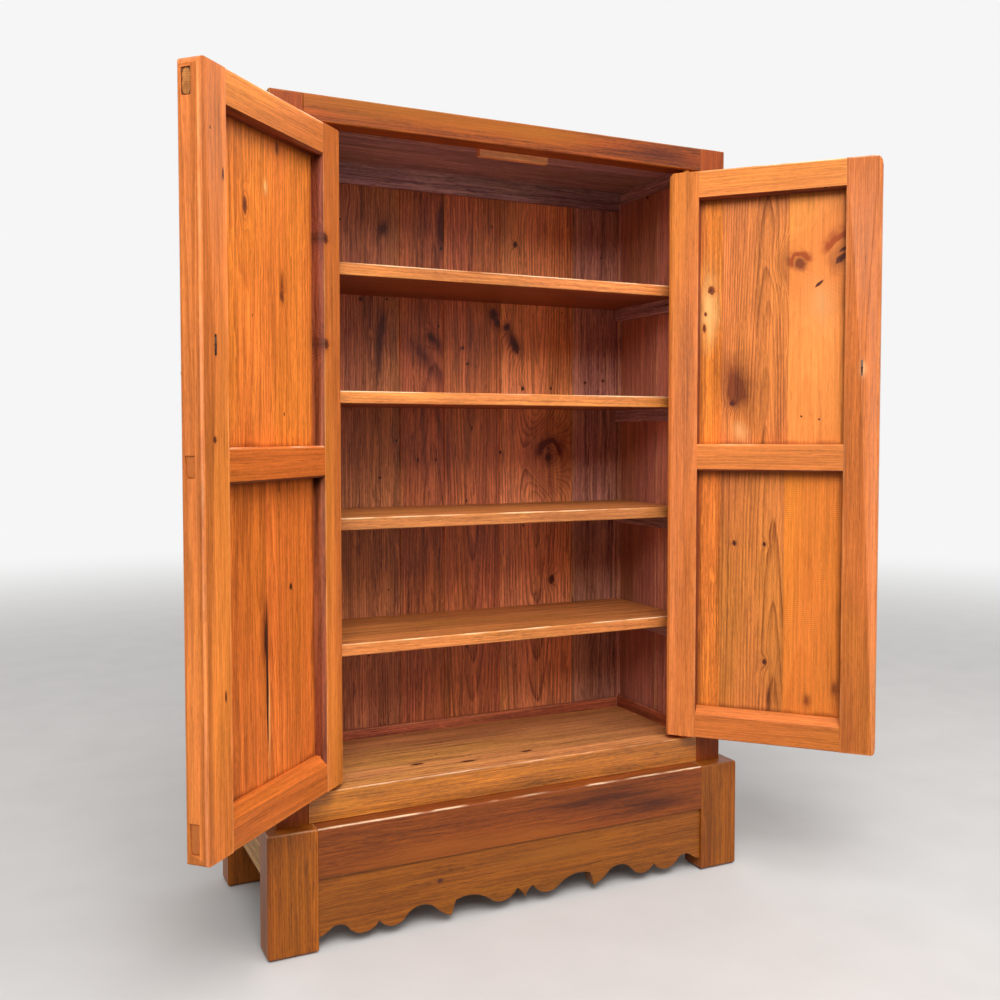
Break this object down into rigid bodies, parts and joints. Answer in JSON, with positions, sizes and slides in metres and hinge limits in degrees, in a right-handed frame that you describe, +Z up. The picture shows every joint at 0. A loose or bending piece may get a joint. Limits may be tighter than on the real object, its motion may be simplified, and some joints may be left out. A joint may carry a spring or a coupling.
{
  "type": "cd cabinet",
  "caption": "Tall shallow pine cabinet with shelves behind framed panelled doors that turn on wooden pivots, on a stand with a scalloped apron.",
  "frame": {"origin": "on the floor, under the middle of the stand's footprint", "axes": "+Z up, the doors' side faces -Y, +X to the right when looking at the front"},
  "size_m": [0.9678, 0.482, 1.1],
  "materials": {
    "frame_pine": "semi-gloss lacquer over stained pine",
    "inner_pine": "satin lacquer over stained pine boards",
    "shelf_pine": "satin lacquer over pine",
    "door_pine": "semi-gloss amber lacquer over pine",
    "stand_pine": "semi-gloss lacquer over stained pine",
    "pale_pine": "bare sawn pine",
    "pull_brass": "aged brass"
  },
  "bodies": {
    "cabinet": {"back_board_1": "inner_pine", "back_board_2": "inner_pine", "back_board_3": "inner_pine", "back_board_4": "inner_pine", "back_board_5": "inner_pine", "back_board_6": "inner_pine", "back_bottom_rail": "frame_pine", "back_top_rail": "frame_pine", "base_apron": "stand_pine", "base_back_rail": "stand_pine", "base_front_rail": "stand_pine", "base_leg_back_left": "stand_pine", "base_leg_back_right": "stand_pine", "base_leg_front_left": "stand_pine", "base_leg_front_right": "stand_pine", "base_side_rail_left": "pale_pine", "base_side_rail_right": "pale_pine", "door_stop": "pale_pine", "floor_panel": "inner_pine", "front_bottom_rail": "frame_pine", "front_top_rail": "frame_pine", "post_back_left": "frame_pine", "post_back_right": "frame_pine", "post_front_left": "frame_pine", "post_front_right": "frame_pine", "shelf_1": "shelf_pine", "shelf_2": "shelf_pine", "shelf_3": "shelf_pine", "shelf_4": "shelf_pine", "shelf_cleats": "pale_pine", "side_board_left_1": "inner_pine", "side_board_left_2": "inner_pine", "side_board_right_1": "inner_pine", "side_board_right_2": "inner_pine", "side_bottom_rail_left": "frame_pine", "side_bottom_rail_right": "frame_pine", "side_top_rail_left": "frame_pine", "side_top_rail_right": "frame_pine", "top_panel": "inner_pine"},
    "left_door": {"left_door_bottom_rail": "door_pine", "left_door_free_stile": "door_pine", "left_door_hinge_stile": "door_pine", "left_door_lower_panel": "door_pine", "left_door_mid_rail": "door_pine", "left_door_top_rail": "door_pine", "left_door_upper_panel": "door_pine", "left_pull_pin": "pull_brass", "left_pull_plate": "pull_brass"},
    "right_door": {"right_door_bottom_rail": "door_pine", "right_door_free_stile": "door_pine", "right_door_hinge_stile": "door_pine", "right_door_lower_panel": "door_pine", "right_door_mid_rail": "door_pine", "right_door_top_rail": "door_pine", "right_door_upper_panel": "door_pine", "right_pull_pin": "pull_brass", "right_pull_plate": "pull_brass"},
    "left_drop": {"left_pull_drop": "pull_brass"},
    "right_drop": {"right_pull_drop": "pull_brass"}
  },
  "joints": [
    {"name": "left_door_hinge", "type": "hinge", "parent": "cabinet", "child": "left_door", "pos_m": [-0.284, -0.115, 0.209], "axis": [0, 0, 1], "range_deg": [-3, 135.5]},
    {"name": "right_door_hinge", "type": "hinge", "parent": "cabinet", "child": "right_door", "pos_m": [0.284, -0.115, 0.209], "axis": [0, 0, -1], "range_deg": [-6, 132.5]},
    {"name": "left_drop_hinge", "type": "hinge", "parent": "left_door", "child": "left_drop", "pos_m": [-0.47959, -0.28477, 0.763], "axis": [0.7133, 0.7009, 0], "range_deg": [-3, 180]},
    {"name": "right_drop_hinge", "type": "hinge", "parent": "right_door", "child": "right_drop", "pos_m": [0.47044, -0.29478, 0.763], "axis": [0.6756, -0.7373, 0], "range_deg": [-3, 180]}
  ]
}
